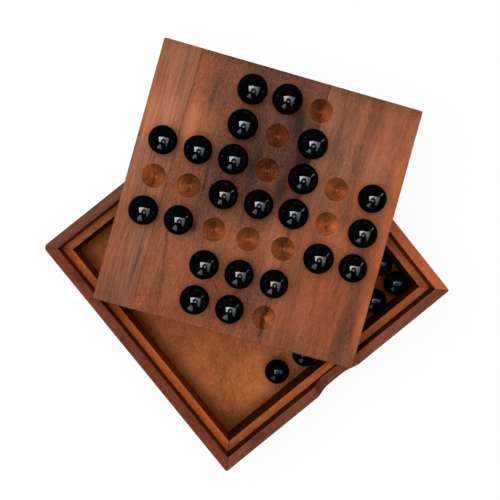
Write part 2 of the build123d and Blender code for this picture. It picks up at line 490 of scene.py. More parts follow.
# Inside the dimples. Levels are times the colour of the cut wood, and places and
# distances are in millimetres from the middle of the dimple.
CUT_DARK = (0.055, 0.012, 0.0035)  # the streaks where a dimple cuts through the oil
CUT_TINT = (1.0, 0.86, 0.58)
CUT_LEVEL = 0.80
GRID_REACH = ROW_STEPS / 2
ARM_REACH = 1.5  # the arms of the cross are three dimples wide
RIM_EDGE = 0.02
CUT_TOP = (-0.02, -0.06)  # below the board's top
# Painted sheen on the sides of each dimple where the grain runs along them.
SIDE_LUCK = 0.35  # the light sides turn by up to so many radians, by luck
SIDE_POWER = 1.8
SHEEN_AND_END_GRAIN_LEVELS = (0.72, 1.22)  # where the grain is cut across, darker end grain, and along, with painted sheen
# Painted light and shade across each dimple: lighter towards one end along the grain and towards
# one side across it.
SPREAD = (-0.8, 0.8)  # of the dimple's radius
LENGTHWISE_PAINTED_LIGHT = (1.24, 0.90)
CROSSWISE_PAINTED_LIGHT = (1.08, 1.00)
STAIN = {"stretch": (0.10, 0.07, 0.1), "detail": 1.0}
STAIN_SHIFT = (0, 0, 40.0)
STAIN_LEVELS = (0.3, 0.7, 0.82, 1.15)
TEARS = {"stretch": (0.8, 0.5, 0.8), "detail": 3.0, "roughness": 0.65}
TEAR_LEVELS = (0.25, 0.75, 0.78, 1.22)
DRILL_MARKS = [(-0.2, 1.3, 0.7, 0.9, 0, 0.8), (0.2, -1.3, 0.7, 0.9, 0, 0.8)]
DRILL_MARK_LEVELS = (0.0, 0.6, 1.0, 0.5)
CUTTER_TURNS = 14.0  # radians of the cutter's rings in a millimetre
CUTTER_LEVEL = 0.02
CUTTER_HEIGHT = 0.02
# A painted highlight beside the middle of each dimple, and its colour.
DIMPLE_GLINT = [(0.9, 0.3, 0.9, 0.8, 0, 0.5)]
DIMPLE_GLINT_COLOUR = (0.40, 0.20, 0.12)
WORN_LIT_RIM_OUT = 0.1
WORN_LIT_RIM = (0.1, 0.45, 0.18, 0.0)  # the wood is brighter in a thin ring about each rim, worn and with a painted edge highlight


def dimple_place(graph, place):
    """The place within the nearest dimple, its cell in the grid and its distance out."""
    grid = graph.vector("SUBTRACT", place, (*GRID_SHIFT, 0.0))
    cell = graph.vector("MULTIPLY", grid, (1 / HOLE_PITCH, 1 / HOLE_PITCH, 0.0))
    cell = graph.vector("FLOOR", graph.vector("ADD", cell, (0.5, 0.5, 0.0)))
    cell = graph.vector("MAXIMUM", cell, (-GRID_REACH, -GRID_REACH, 0.0))
    cell = graph.vector("MINIMUM", cell, (GRID_REACH, GRID_REACH, 0.0))
    local = graph.vector("SUBTRACT", grid, graph.scale(cell, HOLE_PITCH))
    local = graph.vector("MULTIPLY", local, (1.0, 1.0, 0.0))
    return local, cell, graph.vector("LENGTH", local)


def dimple_colour(graph, place, colour, cut_colour):
    """Fresher, deeper wood inside the dimples, dark where it is cut across the grain, with
    painted sheen where the grain runs along, painted light and shade across each dimple and a
    painted highlight.

    Gives the colour, the share that is inside a dimple and the marks of the cutter."""
    local, cell, out = dimple_place(graph, place)
    x, y, _ = graph.parts(local)
    height = graph.parts(place)[2]
    hollow = graph.math(
        "MULTIPLY",
        graph.turn_to(out, DIMPLE_RADIUS + RIM_EDGE, DIMPLE_RADIUS - RIM_EDGE),
        graph.turn_to(height, *CUT_TOP),
    )
    luck = graph.node("ShaderNodeTexWhiteNoise", {"Vector": cell}, noise_dimensions="3D")
    luck = graph.turn_to(luck.outputs["Value"], 0, 1, -SIDE_LUCK, SIDE_LUCK)
    angle = graph.math("ADD", graph.math("ARCTAN2", y, x), luck)
    sheen_facing = graph.math("ABSOLUTE", graph.math("COSINE", angle))
    sheen_facing = graph.math("POWER", sheen_facing, SIDE_POWER)
    stain = graph.noise(graph.vector("ADD", place, STAIN_SHIFT), **STAIN)
    torn = graph.noise(place, **TEARS)
    turned = graph.math("SINE", graph.math("MULTIPLY", out, CUTTER_TURNS))
    level = graph.turn_to(sheen_facing, 0.0, 1.0, *SHEEN_AND_END_GRAIN_LEVELS, smooth=False)
    for factor in (
        # Painted light and shade across the dimple.
        graph.turn_to(graph.math("DIVIDE", y, DIMPLE_RADIUS), *SPREAD, *LENGTHWISE_PAINTED_LIGHT),
        graph.turn_to(graph.math("DIVIDE", x, DIMPLE_RADIUS), *SPREAD, *CROSSWISE_PAINTED_LIGHT),
        graph.math("ADD", graph.patches(place, CUT_FIGURE), 1.0),
        graph.turn_to(stain, *STAIN_LEVELS),
        graph.turn_to(torn, *TEAR_LEVELS),
        graph.turn_to(graph.patches(local, DRILL_MARKS), *DRILL_MARK_LEVELS),
        graph.math("MULTIPLY_ADD", turned, CUTTER_LEVEL, 1.0),
        CUT_LEVEL,
    ):
        level = graph.math("MULTIPLY", level, factor)
    fresh = darken(graph, cut_colour, level)
    # Painted highlight near the middle of the dimple.
    fresh = graph.blend(graph.patches(local, DIMPLE_GLINT), fresh, rgba(DIMPLE_GLINT_COLOUR))
    column, row, _ = graph.parts(graph.vector("ABSOLUTE", cell))
    drilled = graph.math("LESS_THAN", graph.math("MINIMUM", column, row), ARM_REACH)
    # A worn rim about each drilled dimple, with a painted edge highlight.
    off_rim = graph.math("SUBTRACT", out, DIMPLE_RADIUS + WORN_LIT_RIM_OUT)
    worn_lit_rim = graph.turn_to(graph.math("ABSOLUTE", off_rim), *WORN_LIT_RIM)
    worn_lit_rim = graph.math("MULTIPLY_ADD", worn_lit_rim, drilled, 1.0)
    return graph.blend(hollow, darken(graph, colour, worn_lit_rim), fresh), hollow, turned


def board_finish(stave, seed, light, dark):
    """Oiled hardwood with its own streaks, and dimples that show deeper, fresher wood."""
    made, graph = material(stave)
    turned_shift = Matrix.Rotation(BOARD_TURN, 3, "Z") @ Vector((*GRID_SHIFT, 0)) * MM
    place = wood_place(graph, GRID_MIDDLE - turned_shift, BOARD_TURN)
    pith, strengths = BOARD_PITH[stave], STAVE_GRAIN[stave]
    tone, lines, fibre, pores = grain(graph, place, pith, seed, strengths)

    sway = graph.join(swing(graph, place, SWAY_REACH, **SWAY), 0.0, 0.0)
    swayed = graph.vector("ADD", place, sway)
    feathered = graph.turn_to(lines, *FEATHER, smooth=False)
    dark_share = graph.patches(swayed, DARK_FIGURE[stave])
    dark_share = graph.math("MULTIPLY", dark_share, feathered)
    tone = graph.math("MULTIPLY", tone, graph.turn_to(dark_share, *STREAK_CALM))
    bright_share = graph.patches(swayed, BRIGHT_FIGURE[stave])
    bright_share = graph.math("MULTIPLY", bright_share, feathered)
    tone = graph.math("ADD", tone, STAVE_TONE[stave])
    tone = graph.math("ADD", tone, graph.math("SUBTRACT", bright_share, dark_share))
    share = graph.math("MULTIPLY", tone, TONE_SPAN, clamp=True)
    colour = graph.blend(share, rgba(dark), rgba(light))
    cut_colour = graph.blend(share, rgba(CUT_DARK), rgba(times(light, CUT_TINT)))

    drift_place = graph.vector("ADD", place, (seed * TINT_SEED_STEP, 0, 0))
    drift = swing(graph, drift_place, TINT_DRIFT_REACH, **TINT_DRIFT)
    cool = graph.math("ADD", drift, graph.patches(swayed, COOL_FIGURE[stave]), clamp=True)
    warm = graph.math("SUBTRACT", graph.patches(swayed, WARM_FIGURE[stave]), drift, clamp=True)
    streak = graph.math("MULTIPLY", dark_share, STREAK_COOLING, clamp=True)
    for share, tint in ((cool, COOL), (warm, WARM), (streak, COOL_STREAK)):
        tinted = graph.blend(share, rgba((1, 1, 1)), rgba(tint))
        colour = graph.vector("MULTIPLY", colour, tinted)
    x = graph.parts(place)[0]
    for line in GLUE_LINES:
        off = graph.math("ABSOLUTE", graph.math("SUBTRACT", x, line))
        colour = darken(graph, colour, graph.turn_to(off, *GLUE_LINE))

    colour, hollow, turned = dimple_colour(graph, place, colour, cut_colour)
    colour = darken(graph, colour, end_grain_level(graph, BOARD_TURN))
    roughness = graph.turn_to(fibre, *FIBRE_SPAN, *WOOD_ROUGHNESS)
    relief = wood_relief(graph, lines, fibre, pores)
    cutter_relief = graph.math("MULTIPLY", hollow, CUTTER_HEIGHT)
    relief = graph.math("MULTIPLY_ADD", turned, cutter_relief, relief)
    principled(graph, colour, roughness, relief, **WOOD_SHINE)
    return made


WALL_GRAIN = (0.6, 0.8, 0.6, 0.7, 0.6, 0.08)  # the same six strengths as in STAVE_GRAIN
# Upright faces inside the tray differ from the wood's top by painted light and shade: most are
# painted darker, where shade falls, and the back and left walls' are painted lighter and more
# orange.
INNER_FACE_SHADE_AND_LIGHT = {
    "front_wall": (0.46, 0.31, 0.20),
    "right_wall": (0.50, 0.38, 0.26),
    "back_wall": (1.80, 1.20, 0.60),
    "left_wall": (1.40, 1.10, 0.60),
    "front_ledge": (0.19, 0.18, 0.22),
    "right_ledge": (0.14, 0.15, 0.19),
    "back_ledge": (0.33, 0.26, 0.22),
    "left_ledge": (0.71, 0.53, 0.48),
}
UPRIGHT = (0.6, 0.2)  # of the normal's rise
INNER_OUT = (0.6, 0.2)  # past the walls' inner faces, in millimetres
DARK_GRAIN = (0.35, 0.42, 0.50)
LIGHT_GRAIN = (1.65, 1.58, 1.50)
MIDDLE_TONE = 0.5
SMUDGES = {"stretch": (0.16, 0.05, 0.16), "detail": 3.0, "roughness": 0.6}
SMUDGE_EDGES = (0.56, 0.74)
MITRE_LINE = (0.1, 0.5, 0.4, 1.0)  # by the distance from it, in millimetres


def grain_turn(name):
    """The turn that lays the grain along a wall or a ledge strip."""
    return math.radians(90 if name.startswith(("front", "back")) else 0)


def plain_wood(name, seed, colour, pith, dirt):
    """Straight-grained hardwood for a wall or a ledge strip, with dark mitre lines and painted
    light and shade on its upright faces inside the tray.
    """
    made, graph = material(name)
    turn = grain_turn(name)
    place = wood_place(graph, (0, 0, 0), turn)
    tone, lines, fibre, pores = grain(graph, place, pith, seed, WALL_GRAIN)
    tone = graph.math("ADD", tone, MIDDLE_TONE)
    dark, light = times(colour, DARK_GRAIN), times(colour, LIGHT_GRAIN)
    colour = graph.blend(tone, rgba(dark), rgba(light))
    smudge = graph.turn_to(graph.noise(place, **SMUDGES), *SMUDGE_EDGES, 1.0, 1.0 - dirt)
    colour = darken(graph, colour, smudge)
    x, y, _ = graph.parts(place)
    x, y = graph.math("ABSOLUTE", x), graph.math("ABSOLUTE", y)
    off_mitre = graph.math("ABSOLUTE", graph.math("SUBTRACT", x, y))
    colour = darken(graph, colour, graph.turn_to(off_mitre, *MITRE_LINE))
    # Painted light and shade on the upright faces inside the tray, set wall by wall.
    rise = graph.math("ABSOLUTE", wood_normal(graph, turn)[2])
    within = [REBATE_HALF + step for step in INNER_OUT]
    within = graph.turn_to(graph.math("MAXIMUM", x, y), *within)
    inner = graph.math("MULTIPLY", graph.turn_to(rise, *UPRIGHT), within)
    shade = graph.blend(inner, rgba((1, 1, 1)), rgba(INNER_FACE_SHADE_AND_LIGHT[name]))
    colour = graph.vector("MULTIPLY", colour, shade)
    colour = darken(graph, colour, end_grain_level(graph, turn))
    roughness = graph.turn_to(fibre, *FIBRE_SPAN, *WOOD_ROUGHNESS)
    relief = wood_relief(graph, lines, fibre, pores)
    principled(graph, colour, roughness, relief, **WOOD_SHINE)
    return made


FLOOR_GRAIN_TURN = -38.0
# Darker places, as in the board's figure but from the middle of the tray: the band along the
# front wall and the large patch at the front right corner, under the board, are painted shade,
# and the others are darker tone.
FLOOR_SMUDGES_AND_SHADE = [
    (0.0, 0.0, 34.0, 30.0, 0, 0.10),
    (-66.0, -66.0, 16.0, 11.0, 45, 0.34),
    (-24.0, -58.0, 12.0, 8.0, 20, 0.16),
    (20.0, -66.0, 30.0, 5.0, 0, 0.20),
    (58.0, -50.0, 34.0, 44.0, 0, 0.90),
]
FLOOR_CLOUDS = {"stretch": (0.04, 0.03, 0.05), "detail": 3.0, "roughness": 0.6}
MOTTLE = {"stretch": (0.22, 0.10, 0.5), "detail": 4.0, "roughness": 0.65}
FLOOR_FIBRES = {"stretch": (1.3, 0.45, 1.3), "detail": 3.0, "roughness": 0.7}
FLOOR_PORES = {"stretch": (2.6, 0.5, 2.6), "detail": 1.0}
CLOUD_STRENGTH, MOTTLE_STRENGTH, FIBRE_STRENGTH = 0.8, 0.9, 0.9
FLOOR_PORE_EDGES = (0.62, 0.74)
FLOOR_PORE_SHARE = 0.4
FLOOR_PORE_HEIGHT = -0.04
DARK_FLOOR = (0.4, 0.38, 0.36)
LIGHT_FLOOR = (1.6, 1.62, 1.64)
# Painted shade on the floor along the walls, below the ledge strips.
WALL_SHADE = -0.42
WALL_SHADE_SPAN = (-9, 1)  # about the ledge strips' faces, in millimetres
WALL_SHADE_WANDER = 14.0
MOTTLE_SPAN = (0.2, 0.8)
FLOOR_ROUGHNESS = (0.55, 0.7)
FLOOR_SHINE = {"Specular IOR Level": 0.12}


def floor_finish(colour, stain):
    """Stained thin plywood with a cloudy, mottled face, with painted shade along the walls and
    under the board.
    """
    made, graph = material("tray_floor")
    flat = wood_place(graph, (0, 0, 0), 0.0)
    place = wood_place(graph, (0, 0, 0), math.radians(FLOOR_GRAIN_TURN))
    cloud = graph.noise(place, **FLOOR_CLOUDS)
    mottle = graph.noise(place, **MOTTLE)
    fibre = graph.noise(place, **FLOOR_FIBRES)
    shares = (cloud, CLOUD_STRENGTH), (mottle, MOTTLE_STRENGTH), (fibre, FIBRE_STRENGTH)
    tone = graph.total(MIDDLE_TONE, *shares)
    # Painted shade under the board and along the front wall, and darker tone elsewhere.
    tone = graph.math("SUBTRACT", tone, graph.patches(flat, FLOOR_SMUDGES_AND_SHADE))
    x, y, _ = graph.parts(flat)
    out = graph.math("MAXIMUM", graph.math("ABSOLUTE", x), graph.math("ABSOLUTE", y))
    out = graph.total(out, (mottle, WALL_SHADE_WANDER))
    span = [HOLLOW_HALF + step for step in WALL_SHADE_SPAN]
    tone = graph.math("ADD", tone, graph.turn_to(out, *span, 0.0, WALL_SHADE))
    dark, light = times(colour, DARK_FLOOR), times(colour, LIGHT_FLOOR)
    colour = graph.blend(graph.math("MAXIMUM", tone, 0.0), rgba(dark), rgba(light))
    pores = graph.turn_to(graph.noise(place, **FLOOR_PORES), *FLOOR_PORE_EDGES)
    pore_share = graph.math("MULTIPLY", pores, FLOOR_PORE_SHARE)
    colour = graph.blend(pore_share, colour, rgba(stain))
    roughness = graph.turn_to(mottle, *MOTTLE_SPAN, *FLOOR_ROUGHNESS)
    relief = graph.math("MULTIPLY", fibre, FIBRE_HEIGHT)
    relief = graph.math("MULTIPLY_ADD", pores, FLOOR_PORE_HEIGHT, relief)
    principled(graph, colour, roughness, relief, **FLOOR_SHINE)
    return made


SWIRLS = {"stretch": (0.09, 0.09, 0.09), "detail": 3.0, "distortion": 1.2}
SWIRL_EDGES = (0.3, 0.75)
SWIRL_HEIGHT = 0.015
DEEP_GLASS = (0.4, 0.4, 0.4)  # times the glass colour, between the swirls
DUST = {"stretch": (1.1, 1.1, 1.1), "detail": 1.0}
DUST_EDGES = (0.72, 0.78)
DUST_SHARE = 0.8
DUST_COLOUR = (0.018, 0.021, 0.024)
SCUFFS = {"stretch": (1.3, 1.3, 1.3), "detail": 4.0, "roughness": 0.7}
SCUFF_EDGES = (0.55, 0.8)
SCUFF_ROUGHNESS = 0.05
GLASS_IOR = 1.5
# The board shades the marbles in the tray, so their polish shows the window dim and blue.
TRAY_POLISH = {"Specular IOR Level": 0.24, "Specular Tint": (0.52, 0.81, 1.0, 1.0)}


def glass_finish(name, colour, roughness, **polish_sockets):
    """Opaque black glass: faint cloudy swirls under a polish with a little dust on it."""
    made, graph = material(name)
    place = graph.node("ShaderNodeTexCoord").outputs["Object"]
    place = graph.scale(place, 1 / MM)
    swirl = graph.noise(place, **SWIRLS)
    swirl_share = graph.turn_to(swirl, *SWIRL_EDGES)
    depth = graph.blend(swirl_share, rgba(times(colour, DEEP_GLASS)), rgba(colour))
    dust = graph.turn_to(graph.noise(place, **DUST), *DUST_EDGES)
    depth = graph.blend(graph.math("MULTIPLY", dust, DUST_SHARE), depth, rgba(DUST_COLOUR))
    scuff = graph.noise(place, **SCUFFS)
    polish = graph.turn_to(scuff, *SCUFF_EDGES, roughness, roughness + SCUFF_ROUGHNESS)
    relief = graph.math("MULTIPLY", swirl, SWIRL_HEIGHT)
    principled(graph, depth, polish, relief, IOR=GLASS_IOR, **polish_sockets)
    return made


# The studio. Directions are given as they show in a marble seen from the camera: right
# and down from its middle, in marble radii.
CAMERA_PLACE = (-2.78, 23.16, 467.67)  # in millimetres
CAMERA_LEAN = (-0.722, -2.336, -38.78)  # in degrees about X, then Y, then Z
CAMERA_LENS = 54.0
SENSOR_WIDTH = 36.0
CLIP_START, CLIP_END = 0.01, 20.0
CARD_DISTANCE = 0.69  # in metres from the board, as the next one
HOOD_DISTANCE = 0.42
CARD_STEPS = 6
GLASS_SHINE = 0.04  # share of light that glass of index 1.5 throws straight back
WINDOW_TINT = (0.94, 1.0, 1.06)
PANEL_TINT = (0.86, 1.01, 1.13)
# Each card: its four corners from the top left round to the bottom left, how bright it
# shows in the glass at each of them, and its tint.
CARDS = {
    "window_left": (
        [(-0.235, -0.165), (0.03, -0.178), (0.03, 0.15), (-0.225, 0.155)],
        (0.58, 0.42, 0.26, 0.38),
        WINDOW_TINT,
    ),
    "window_middle": (
        [(0.03, -0.178), (0.24, -0.13), (0.24, 0.16), (0.03, 0.15)],
        (0.27, 0.17, 0.13, 0.20),
        WINDOW_TINT,
    ),
    "window_right": (
        [(0.24, -0.13), (0.475, -0.105), (0.425, 0.16), (0.24, 0.16)],
        (0.14, 0.07, 0.06, 0.11),
        WINDOW_TINT,
    ),
    "window_leg": (
        [(0.20, 0.16), (0.425, 0.16), (0.30, 0.49), (0.22, 0.47)],
        (0.09, 0.06, 0.03, 0.03),
        WINDOW_TINT,
    ),
    "low_panel_top": (
        [(-0.22, 0.33), (-0.13, 0.31), (-0.11, 0.47), (-0.37, 0.46)],
        (0.08, 0.07, 0.07, 0.12),
        PANEL_TINT,
    ),
    "low_panel": (
        [(-0.37, 0.46), (-0.11, 0.47), (-0.14, 0.70), (-0.46, 0.63)],
        (0.12, 0.06, 0.04, 0.04),
        PANEL_TINT,
    ),
    "ceiling_lamp": (
        [(-0.50, -0.47), (-0.46, -0.47), (-0.46, -0.43), (-0.50, -0.43)],
        (0.02, 0.02, 0.02, 0.02),
        PANEL_TINT,
    ),
    "second_ceiling_lamp": (
        [(-0.11, -0.45), (-0.06, -0.45), (-0.06, -0.41), (-0.11, -0.41)],
        (0.02, 0.02, 0.02, 0.02),
        PANEL_TINT,
    ),
}
BOARD_CARD = "window_leg"  # shows in the marbles on the board alone
# A lit tube that some marbles on the board don't show, and a spark that only a few show.
TUBE_CORNERS = [(0.485, -0.175), (0.745, -0.385), (0.79, -0.34), (0.515, -0.125)]
TUBE_LEVELS = (0.07, 0.16, 0.16, 0.07)
TUBE_MISSES = ("row1", "row2_col3", "row3_col1", "row3_col2", "row3_col3", "row5_col1")
SPARK_CORNERS = [(-0.215, 0.60), (-0.145, 0.60), (-0.145, 0.68), (-0.215, 0.68)]
SPARK_LEVELS = (0.5, 0.5, 0.5, 0.5)
SPARK_HITS = ("row3_col1", "row5_col1", "row5_col2")
# A lamp hood, dark round its hole, that hangs before the window: its middle and radius,
# and how bright each part of it shows.
HOOD_MIDDLE = (0.047, 0.113)
HOOD_RADIUS = 0.175
HOOD_LEVEL = 0.0
HOOD_HOLE_MIDDLE = (0.047, 0.130)
HOOD_HOLE_RADIUS = 0.095
HOOD_HOLE_LEVEL = 0.05
HOOD_GLINT_MIDDLE = (0.048, 0.158)
HOOD_GLINT_RADIUS = 0.050
HOOD_GLINT_LEVEL = 0.19
HOOD_STEP = 0.9  # each part of the hood lies so much nearer than the one behind it
DISC_SIDES = 24
KEY_SEEN_AT = (-0.10, -0.06)  # the direction of the overhead light
KEY_DISTANCE = 1.6


def camera_frame():
    """The camera's place and turn as one matrix."""
    turn = Matrix.Rotation(math.radians(CAMERA_LEAN[2]), 4, "Z")
    turn = turn @ Matrix.Rotation(math.radians(CAMERA_LEAN[1]), 4, "Y")
    turn = turn @ Matrix.Rotation(math.radians(CAMERA_LEAN[0]), 4, "X")
    return Matrix.Translation(Vector(CAMERA_PLACE) * MM) @ turn


def seen_in_marble(right, down):
    """The direction that a marble at the middle of the board shows at that place."""
    matrix = camera_frame()
    view = (matrix.translation - GRID_MIDDLE).normalized()
    side = (matrix.to_3x3() @ Vector((1, 0, 0))).normalized()
    up = view.cross(side).normalized()
    side = up.cross(view)
    inward = math.sqrt(max(0.0, 1 - right**2 - down**2))
    normal = side * right - up * down + view * inward
    return 2 * normal.dot(view) * normal - view


def glow(name, tint, level=None):
    """A material that shines as bright as its mesh's points say, or all over alike."""
    made, graph = material(name)
    if level is None:
        point_level = graph.node("ShaderNodeAttribute", attribute_name="level").outputs["Fac"]
        strength = graph.math("DIVIDE", point_level, GLASS_SHINE)
    else:
        strength = level / GLASS_SHINE
    shader = graph.node("ShaderNodeEmission", {"Color": rgba(tint), "Strength": strength})
    output = graph.node("ShaderNodeOutputMaterial")
    graph.feed(output.inputs["Surface"], shader.outputs[0])
    return made


def stage_mesh(name, points, faces, finish):
    """An object of the studio that isn't part of the set."""
    mesh = bpy.data.meshes.new(name)
    mesh.from_pydata([tuple(p) for p in points], [], faces)
    mesh.materials.append(finish)
    made = bpy.data.objects.new(name, mesh)
    bpy.context.scene.collection.objects.link(made)
    return made


def marble_group(name, marbles):
    """A collection that names the marbles that a card shows in."""
    group = bpy.data.collections.new(name)
    for marble in marbles:
        group.objects.link(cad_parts[marble])
    return group


def only_in(card_object, group):
    """The card shows in the polish of those marbles alone, and lights nothing."""
    card_object.visible_camera = False
    card_object.visible_diffuse = False
    card_object.visible_shadow = False
    card_object.visible_transmission = False
    card_object.visible_volume_scatter = False
    card_object.light_linking.receiver_collection = group


def card(name, corners, levels, tint, group):
    """A four-sided card on the studio's dome, with its corners seen in a marble."""
    points, point_levels = [], []
    for row in range(CARD_STEPS + 1):
        for column in range(CARD_STEPS + 1):
            across, down = column / CARD_STEPS, row / CARD_STEPS
            top = Vector(corners[0]).lerp(Vector(corners[1]), across)
            bottom = Vector(corners[3]).lerp(Vector(corners[2]), across)
            points.append(GRID_MIDDLE + seen_in_marble(*top.lerp(bottom, down)) * CARD_DISTANCE)
            top_level = levels[0] * (1 - across) + levels[1] * across
            bottom_level = levels[3] * (1 - across) + levels[2] * across
            point_levels.append(top_level * (1 - down) + bottom_level * down)
    wide = CARD_STEPS + 1
    faces = [
        (i, i + 1, i + 1 + wide, i + wide)
        for i in range(wide * CARD_STEPS)
        if (i + 1) % wide
    ]
    made = stage_mesh(name, points, faces, glow(name, tint))
    made.data.attributes.new("level", "FLOAT", "POINT").data.foreach_set("value", point_levels)
    only_in(made, group)


def disc(name, centre, size, distance, level, group):
    """A round card on the studio's dome."""
    points = []
    for i in range(DISC_SIDES):
        angle = 2 * math.pi * i / DISC_SIDES
        place = (centre[0] + size * math.cos(angle), centre[1] + size * math.sin(angle))
        points.append(GRID_MIDDLE + seen_in_marble(*place) * distance)
    made = stage_mesh(name, points, [tuple(range(DISC_SIDES))], glow(name, PANEL_TINT, level))
    only_in(made, group)


def reflections():
    """The cards that the marbles show: a window, a panel, a tube and a lamp hood."""
    everywhere = marble_group("all_marbles", BOARD_MARBLES + TRAY_MARBLES)
    on_board = marble_group("board_marbles", BOARD_MARBLES)
    for name, (corners, levels, tint) in CARDS.items():
        card(name, corners, levels, tint, on_board if name == BOARD_CARD else everywhere)
    with_tube = [m for m in BOARD_MARBLES if not any(miss in m for miss in TUBE_MISSES)]
    tube_marbles = marble_group("tube_marbles", with_tube)
    card("tube", TUBE_CORNERS, TUBE_LEVELS, WINDOW_TINT, tube_marbles)
    with_spark = [m for m in BOARD_MARBLES if any(hit in m for hit in SPARK_HITS)]
    spark_marbles = marble_group("spark_marbles", with_spark)
    card("spark", SPARK_CORNERS, SPARK_LEVELS, WINDOW_TINT, spark_marbles)
    distance = HOOD_DISTANCE
    for name, centre, size, level in (
        ("hood", HOOD_MIDDLE, HOOD_RADIUS, HOOD_LEVEL),
        ("hood_hole", HOOD_HOLE_MIDDLE, HOOD_HOLE_RADIUS, HOOD_HOLE_LEVEL),
        ("hood_glint_0", HOOD_GLINT_MIDDLE, HOOD_GLINT_RADIUS, HOOD_GLINT_LEVEL),
    ):
        disc(name, centre, size, distance, level, everywhere)
        distance *= HOOD_STEP


PAPER_REACH = 6.0
PAPER_WHITE = 0.90  # what the camera sees of the paper before any light falls on it
PAPER_SHADE = 0.12  # and how much of that light it sees
PAPER_IN_POLISH = 0.02  # the glass shows a dark room
SKY_SEEN = 1.0  # the strength at which the camera sees the sky, on its own pale grey


def paper_floor(colour):
    """A pale floor that the camera sees as white, with the set's soft shadow on it."""
    made, graph = material("paper_floor")
    path = graph.node("ShaderNodeLightPath")
    seen = path.outputs["Is Camera Ray"]
    tint = graph.blend(seen, rgba(colour), rgba((PAPER_SHADE,) * 3))
    tint = graph.blend(path.outputs["Is Glossy Ray"], tint, rgba((PAPER_IN_POLISH,) * 3))
    lit = graph.node("ShaderNodeBsdfDiffuse", {"Color": tint})
    glow_level = graph.math("MULTIPLY", seen, PAPER_WHITE)
    white = graph.node("ShaderNodeEmission", {"Strength": glow_level})
    both = graph.node("ShaderNodeAddShader", {0: lit.outputs[0], 1: white.outputs[0]})
    output = graph.node("ShaderNodeOutputMaterial")
    graph.feed(output.inputs["Surface"], both.outputs[0])
    return made


def studio_world(ambient, ceiling):
    """Pale to the camera, an even soft light to the set, and a dark ceiling in polish."""
    world = bpy.data.worlds.new("studio")
    bpy.context.scene.world = world
    world.use_nodes = True
    world.node_tree.nodes.clear()
    graph = Graph(world.node_tree)
    path = graph.node("ShaderNodeLightPath")
    strength = ambient
    for ray, level in (("Is Glossy Ray", ceiling), ("Is Camera Ray", SKY_SEEN)):
        inputs = {0: path.outputs[ray], 2: strength, 3: level}
        strength = graph.node("ShaderNodeMix", inputs, data_type="FLOAT").outputs[0]
    sky = graph.node("ShaderNodeBackground", {"Strength": strength})
    output = graph.node("ShaderNodeOutputWorld")
    graph.feed(output.inputs["Surface"], sky.outputs[0])


def overhead_light(name, direction, distance, size, power):
    """A soft square lamp that looks at the middle of the board."""
    lamp = bpy.data.lights.new(name, "AREA")
    lamp.shape = "SQUARE"
    lamp.size = size
    lamp.energy = power
    made = bpy.data.objects.new(name, lamp)
    bpy.context.scene.collection.objects.link(made)
    made.location = GRID_MIDDLE + direction * distance
    made.rotation_euler = direction.to_track_quat("Z", "Y").to_euler()
    made.visible_glossy = False


def photo_camera(scene):
    """The camera that sees the set as the photograph does."""
    camera = bpy.data.cameras.new("camera")
    camera.lens = CAMERA_LENS
    camera.sensor_width = SENSOR_WIDTH
    camera.clip_start = CLIP_START
    camera.clip_end = CLIP_END
    holder = bpy.data.objects.new("camera", camera)
    scene.collection.objects.link(holder)
    holder.matrix_world = camera_frame()
    scene.camera = holder


def colour_property(name, description, *default):
    """A property that holds a linear colour of three numbers."""
    return FloatVectorProperty(
        name=name, description=description, subtype="COLOR", size=3, min=0, max=1, default=default
    )


def level_property(name, description, default, low=0.0, **settings):
    """A property that holds one number."""
    return FloatProperty(name=name, description=description, default=default, min=low, **settings)


class BoardLook(bpy.types.PropertyGroup):
    """The colours of the playing board"""

    light: colour_property("Light wood", "The palest tone of the board", 0.627, 0.203, 0.0895)
    dark: colour_property("Streaks", "The darkest streaks and pores", 0.055, 0.028, 0.019)


class TrayLook(bpy.types.PropertyGroup):
    """The colours of the tray's walls, ledge strips and floor"""

    front_wall: colour_property("Front wall", "The wood of the front wall", 0.220, 0.067, 0.037)
    right_wall: colour_property("Right wall", "The wood of the right wall", 0.50, 0.122, 0.047)
    back_wall: colour_property("Back wall", "The wood of the back wall", 0.198, 0.071, 0.042)
    left_wall: colour_property("Left wall", "The wood of the left wall", 0.214, 0.050, 0.0235)
    front_ledge: colour_property("Front ledge", "The front strip's wood", 0.48, 0.126, 0.035)
    right_ledge: colour_property("Right ledge", "The right strip's wood", 0.475, 0.130, 0.043)
    back_ledge: colour_property("Back ledge", "The back strip's wood", 0.60, 0.168, 0.058)
    left_ledge: colour_property("Left ledge", "The left strip's wood", 0.555, 0.129, 0.028)
    floor: colour_property("Floor", "The usual tone of the floor", 0.49, 0.153, 0.050)
    stain: colour_property("Stain", "The darkest pores and stains", 0.040, 0.014, 0.009)


class MarbleLook(bpy.types.PropertyGroup):
    """The colour and the polish of the glass"""

    colour: colour_property("Glass", "The colour deep in the glass", 0.0016, 0.0018, 0.0022)
    roughness: level_property("Roughness", "How dull the polish is", 0.03, max=1.0)


class StudioLook(bpy.types.PropertyGroup):
    """The lights, the reflections and the floor of the studio"""

    key: level_property("Key light", "Power of the overhead light", 27.0, unit="POWER")
    key_size: level_property("Key size", "Side of the overhead light", 2.0, 0.1, unit="LENGTH")
    ambient: level_property("Ambient", "Even light from all round", 0.20)
    ceiling: level_property("Ceiling", "How bright the room shows in polish", 0.02)
    reflections: BoolProperty(
        name="Reflections", description="Show the window and the lamps in the glass", default=True
    )
    floor: colour_property("Floor", "The colour of the paper floor", 0.80, 0.80, 0.80)


# Each piece of wood has a seed of its own, and these are the first of each kind.
WALL_SEED, LEDGE_SEED, STAVE_SEED = 1, 11, 21
# Where the pith of the wood lies: across from the middle of the set, and up.
WALL_PITH_STEP, WALL_PITH_HEIGHT = 40.0, -60.0
LEDGE_PITH = (60.0, -50.0)
WALL_DIRT, LEDGE_DIRT = 0.35, 0.2


